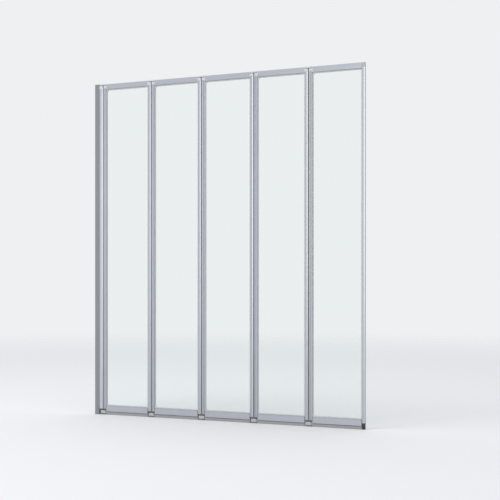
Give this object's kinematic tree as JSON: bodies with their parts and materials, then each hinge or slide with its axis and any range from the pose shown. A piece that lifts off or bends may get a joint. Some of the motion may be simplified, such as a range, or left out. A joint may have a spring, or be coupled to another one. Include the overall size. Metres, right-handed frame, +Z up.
{
  "type": "folding bath screen",
  "caption": "Folding bath screen: clear glass panels in slim hollow aluminium frames on double-pivot hinges, fixed to a wall and standing on a bath rim.",
  "frame": {"origin": "on the wall face at bath rim level, in the middle of the screen's thickness, at the foot of the wall profile", "axes": "+X from the wall along the open screen, +Y into the bath, +Z up from the bath rim"},
  "size_m": [1.1817, 0.0154, 1.4],
  "materials": {
    "frame_aluminium": "satin anodised",
    "silver_plastic": "fine matt",
    "pin_steel": "plain",
    "clear_glass": "clear",
    "gasket_rubber": "matt",
    "seal_rubber": "matt"
  },
  "bodies": {
    "wall_side": {"wall_profile": "frame_aluminium", "wall_profile_caps": "silver_plastic", "wall_stile": "frame_aluminium", "wall_stile_caps": "silver_plastic", "clamp_screws": "pin_steel"},
    "hinge_1": {"hinge_1_links": "silver_plastic", "hinge_1_pins": "pin_steel", "hinge_1_seals": "seal_rubber"},
    "panel_1": {"panel_1_left_stile": "frame_aluminium", "panel_1_right_stile": "frame_aluminium", "panel_1_top_rail": "frame_aluminium", "panel_1_bottom_rail": "frame_aluminium", "panel_1_glass": "clear_glass", "panel_1_gasket": "gasket_rubber", "panel_1_corner_pieces": "silver_plastic", "panel_1_bottom_seal": "seal_rubber"},
    "hinge_2": {"hinge_2_links": "silver_plastic", "hinge_2_pins": "pin_steel", "hinge_2_seals": "seal_rubber"},
    "panel_2": {"panel_2_left_stile": "frame_aluminium", "panel_2_right_stile": "frame_aluminium", "panel_2_top_rail": "frame_aluminium", "panel_2_bottom_rail": "frame_aluminium", "panel_2_glass": "clear_glass", "panel_2_gasket": "gasket_rubber", "panel_2_corner_pieces": "silver_plastic", "panel_2_bottom_seal": "seal_rubber"},
    "hinge_3": {"hinge_3_links": "silver_plastic", "hinge_3_pins": "pin_steel", "hinge_3_seals": "seal_rubber"},
    "panel_3": {"panel_3_left_stile": "frame_aluminium", "panel_3_right_stile": "frame_aluminium", "panel_3_top_rail": "frame_aluminium", "panel_3_bottom_rail": "frame_aluminium", "panel_3_glass": "clear_glass", "panel_3_gasket": "gasket_rubber", "panel_3_corner_pieces": "silver_plastic", "panel_3_bottom_seal": "seal_rubber"},
    "hinge_4": {"hinge_4_links": "silver_plastic", "hinge_4_pins": "pin_steel", "hinge_4_seals": "seal_rubber"},
    "panel_4": {"panel_4_left_stile": "frame_aluminium", "panel_4_right_stile": "frame_aluminium", "panel_4_top_rail": "frame_aluminium", "panel_4_bottom_rail": "frame_aluminium", "panel_4_glass": "clear_glass", "panel_4_gasket": "gasket_rubber", "panel_4_corner_pieces": "silver_plastic", "panel_4_bottom_seal": "seal_rubber"},
    "hinge_5": {"hinge_5_links": "silver_plastic", "hinge_5_pins": "pin_steel", "hinge_5_seals": "seal_rubber"},
    "panel_5": {"panel_5_left_stile": "frame_aluminium", "panel_5_right_stile": "frame_aluminium", "panel_5_top_rail": "frame_aluminium", "panel_5_bottom_rail": "frame_aluminium", "panel_5_glass": "clear_glass", "panel_5_gasket": "gasket_rubber", "panel_5_corner_pieces": "silver_plastic", "panel_5_bottom_seal": "seal_rubber"}
  },
  "joints": [
    {"name": "hinge_1_near_pivot", "type": "hinge", "parent": "wall_side", "child": "hinge_1", "pos_m": [0.02975, 0, 0], "axis": [0, 0, 1], "range_deg": [0, 45]},
    {"name": "hinge_1_far_pivot", "type": "hinge", "parent": "hinge_1", "child": "panel_1", "pos_m": [0.04525, 0, 0], "axis": [0, 0, 1], "range_deg": [0, 45]},
    {"name": "hinge_2_near_pivot", "type": "hinge", "parent": "panel_1", "child": "hinge_2", "pos_m": [0.25875, 0, 0], "axis": [0, 0, -1], "range_deg": [0, 90]},
    {"name": "hinge_2_far_pivot", "type": "hinge", "parent": "hinge_2", "child": "panel_2", "pos_m": [0.27425, 0, 0], "axis": [0, 0, -1], "range_deg": [0, 90]},
    {"name": "hinge_3_near_pivot", "type": "hinge", "parent": "panel_2", "child": "hinge_3", "pos_m": [0.48775, 0, 0], "axis": [0, 0, 1], "range_deg": [0, 90]},
    {"name": "hinge_3_far_pivot", "type": "hinge", "parent": "hinge_3", "child": "panel_3", "pos_m": [0.50325, 0, 0], "axis": [0, 0, 1], "range_deg": [0, 90]},
    {"name": "hinge_4_near_pivot", "type": "hinge", "parent": "panel_3", "child": "hinge_4", "pos_m": [0.71675, 0, 0], "axis": [0, 0, -1], "range_deg": [0, 90]},
    {"name": "hinge_4_far_pivot", "type": "hinge", "parent": "hinge_4", "child": "panel_4", "pos_m": [0.73225, 0, 0], "axis": [0, 0, -1], "range_deg": [0, 90]},
    {"name": "hinge_5_near_pivot", "type": "hinge", "parent": "panel_4", "child": "hinge_5", "pos_m": [0.94575, 0, 0], "axis": [0, 0, 1], "range_deg": [0, 90]},
    {"name": "hinge_5_far_pivot", "type": "hinge", "parent": "hinge_5", "child": "panel_5", "pos_m": [0.96125, 0, 0], "axis": [0, 0, 1], "range_deg": [0, 90]}
  ]
}
